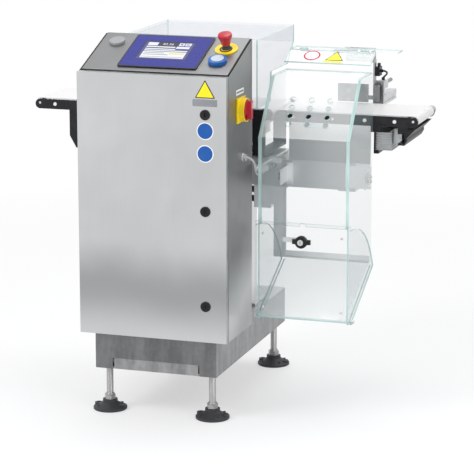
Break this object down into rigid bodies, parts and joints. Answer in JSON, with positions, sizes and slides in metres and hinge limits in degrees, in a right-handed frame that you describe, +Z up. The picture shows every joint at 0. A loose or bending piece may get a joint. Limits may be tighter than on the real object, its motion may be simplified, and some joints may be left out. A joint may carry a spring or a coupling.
{
  "type": "checkweigher",
  "caption": "Checkweigher: stainless cabinet with sloped console, infeed, weigh and outfeed belts, clear canopy, pneumatic pusher and clear lockable reject bin.",
  "frame": {"origin": "on the floor at the centre of the four levelling feet", "axes": "+X along the belts in the direction of travel, +Y from the operator's door to the rear, +Z up"},
  "size_m": [1.206, 0.8155, 1.1247],
  "materials": {
    "belt_white": "matte",
    "bezel_paint": "satin",
    "black_frame": "matte",
    "black_plastic": "matte",
    "blue_plastic": "satin",
    "bright_steel": "fine ground",
    "cable_black": "matte",
    "cast_motor": "satin",
    "clear_sheet": "clear polished",
    "cylinder_alu": "anodised",
    "dark_electrics": "matte",
    "display_glass": "gloss",
    "grey_electrics": "matte",
    "grey_plastic": "satin",
    "nickel": "satin",
    "painted_steel": "satin",
    "pale_lens": "gloss",
    "red_plastic": "satin",
    "seal_rubber": "matte",
    "stainless": "brushed",
    "unit_housing": "satin",
    "white_plastic": "gloss",
    "yellow_plastic": "satin"
  },
  "bodies": {
    "frame": {"plinth_frame": "painted_steel", "cabinet_shell": "stainless", "console_panel": "stainless", "door_seal": "seal_rubber", "hinge_pins": "bright_steel", "screen_bezel": "bezel_paint", "screen_glass": "display_glass", "control_unit": "unit_housing", "junction_box": "grey_plastic", "estop_base": "yellow_plastic", "console_caps": "grey_plastic", "reset_bezel": "blue_plastic", "isolator_plate": "yellow_plastic", "cable_glands": "nickel", "signal_cable": "cable_black", "mount_plate": "stainless", "rail_devices": "grey_electrics", "motor_drives": "dark_electrics", "columns": "stainless", "beam_housing": "stainless", "load_cell": "bright_steel", "infeed_frame": "black_frame", "weigh_frame": "black_frame", "outfeed_frame": "black_frame", "belts": "belt_white", "slider_beds": "bright_steel", "conveyor_motors": "cast_motor", "screw_caps": "white_plastic", "pusher_bracket": "stainless", "push_cylinder": "cylinder_alu", "air_valve": "black_plastic", "guard_body": "clear_sheet", "guard_front": "clear_sheet", "guard_brackets": "stainless", "lid_top": "clear_sheet", "canopy_hinges": "bright_steel", "light_barrier": "black_plastic"},
    "feet": {"foot_pads": "black_plastic", "foot_stems": "bright_steel"},
    "door": {"cabinet_door": "stainless", "lock_housings": "black_plastic"},
    "lock_1": {"lock_core_1": "black_plastic"},
    "lock_2": {"lock_core_2": "black_plastic"},
    "lock_3": {"lock_core_3": "black_plastic"},
    "estop_plunger": {"estop_stem": "bright_steel"},
    "estop_head": {"estop_button": "red_plastic"},
    "reset": {"reset_lens": "pale_lens"},
    "isolator": {"isolator_knob": "red_plastic"},
    "infeed_roller": {"infeed_roller": "bright_steel"},
    "infeed_drive": {"infeed_drive": "bright_steel"},
    "weigh_roller": {"weigh_roller": "bright_steel"},
    "weigh_drive": {"weigh_drive": "bright_steel"},
    "outfeed_roller": {"outfeed_roller": "bright_steel"},
    "outfeed_drive": {"outfeed_drive": "bright_steel"},
    "pusher": {"push_plate": "bright_steel"},
    "canopy": {"canopy_cover": "clear_sheet"},
    "lid": {"guard_lid": "clear_sheet"},
    "flap": {"bin_flap": "clear_sheet", "flap_lock": "black_plastic"},
    "flap_key": {"flap_key": "bright_steel"}
  },
  "joints": [
    {"name": "level_feet", "type": "slide", "parent": "frame", "child": "feet", "axis": [0, 0, 1], "range_m": [-0.01, 0.015]},
    {"name": "door_hinge", "type": "hinge", "parent": "frame", "child": "door", "pos_m": [-0.221, -0.357, 0.6295], "axis": [0, 0, -1], "range_deg": [0, 110]},
    {"name": "lock_turn_1", "type": "hinge", "parent": "door", "child": "lock_1", "pos_m": [0.162, -0.371, 0.907], "axis": [0, 1, 0], "range_deg": [0, 90]},
    {"name": "lock_turn_2", "type": "hinge", "parent": "door", "child": "lock_2", "pos_m": [0.162, -0.371, 0.629], "axis": [0, 1, 0], "range_deg": [0, 90]},
    {"name": "lock_turn_3", "type": "hinge", "parent": "door", "child": "lock_3", "pos_m": [0.162, -0.371, 0.351], "axis": [0, 1, 0], "range_deg": [0, 90]},
    {"name": "estop_push", "type": "slide", "parent": "frame", "child": "estop_plunger", "axis": [0, 0.3453, -0.9385], "range_m": [0, 0.006]},
    {"name": "estop_twist", "type": "hinge", "parent": "estop_plunger", "child": "estop_head", "pos_m": [0.171, -0.20323, 1.07079], "axis": [0, -0.3453, 0.9385], "range_deg": [0, 45], "stiffness_Nm_per_rad": 0.05},
    {"name": "reset_push", "type": "slide", "parent": "frame", "child": "reset", "axis": [0, 0.3453, -0.9385], "range_m": [0, 0.003], "stiffness_N_per_m": 900, "springref_m": -0.001},
    {"name": "isolator_turn", "type": "hinge", "parent": "frame", "child": "isolator", "pos_m": [0.225, -0.243, 0.906], "axis": [1, 0, 0], "range_deg": [0, 90]},
    {"name": "infeed_drive_spin", "type": "hinge", "parent": "frame", "child": "infeed_drive", "pos_m": [-0.194, 0.139, 0.849], "axis": [0, 1, 0], "continuous": true},
    {"name": "weigh_drive_spin", "type": "hinge", "parent": "frame", "child": "weigh_drive", "pos_m": [0.222, 0.139, 0.849], "axis": [0, 1, 0], "continuous": true},
    {"name": "outfeed_drive_spin", "type": "hinge", "parent": "frame", "child": "outfeed_drive", "pos_m": [0.666, 0.139, 0.849], "axis": [0, 1, 0], "continuous": true},
    {"name": "infeed_roller_spin", "type": "hinge", "parent": "frame", "child": "infeed_roller", "pos_m": [-0.51, 0.139, 0.849], "axis": [0, 1, 0], "continuous": true},
    {"name": "weigh_roller_spin", "type": "hinge", "parent": "frame", "child": "weigh_roller", "pos_m": [-0.158, 0.139, 0.849], "axis": [0, 1, 0], "continuous": true},
    {"name": "outfeed_roller_spin", "type": "hinge", "parent": "frame", "child": "outfeed_roller", "pos_m": [0.258, 0.139, 0.849], "axis": [0, 1, 0], "continuous": true},
    {"name": "pusher_stroke", "type": "slide", "parent": "frame", "child": "pusher", "axis": [0, -1, 0], "range_m": [0, 0.12]},
    {"name": "canopy_hinge", "type": "hinge", "parent": "frame", "child": "canopy", "pos_m": [0.032, -0.122, 1.087], "axis": [1, 0, 0], "range_deg": [0, 75]},
    {"name": "lid_hinge", "type": "hinge", "parent": "frame", "child": "lid", "pos_m": [0.4105, 0.08953, 1.04116], "axis": [-1, 0, 0], "range_deg": [0, 100]},
    {"name": "flap_tilt", "type": "hinge", "parent": "frame", "child": "flap", "pos_m": [0.4105, -0.221, 0.3], "axis": [1, 0, 0], "range_deg": [0, 50]},
    {"name": "flap_key_turn", "type": "hinge", "parent": "flap", "child": "flap_key", "pos_m": [0.409, -0.239, 0.531], "axis": [0, 1, 0], "range_deg": [0, 90]}
  ],
  "couplings": [
    {"joint": "infeed_roller_spin", "follows": "infeed_drive_spin", "ratio": 1},
    {"joint": "weigh_roller_spin", "follows": "weigh_drive_spin", "ratio": 1},
    {"joint": "outfeed_roller_spin", "follows": "outfeed_drive_spin", "ratio": 1}
  ]
}
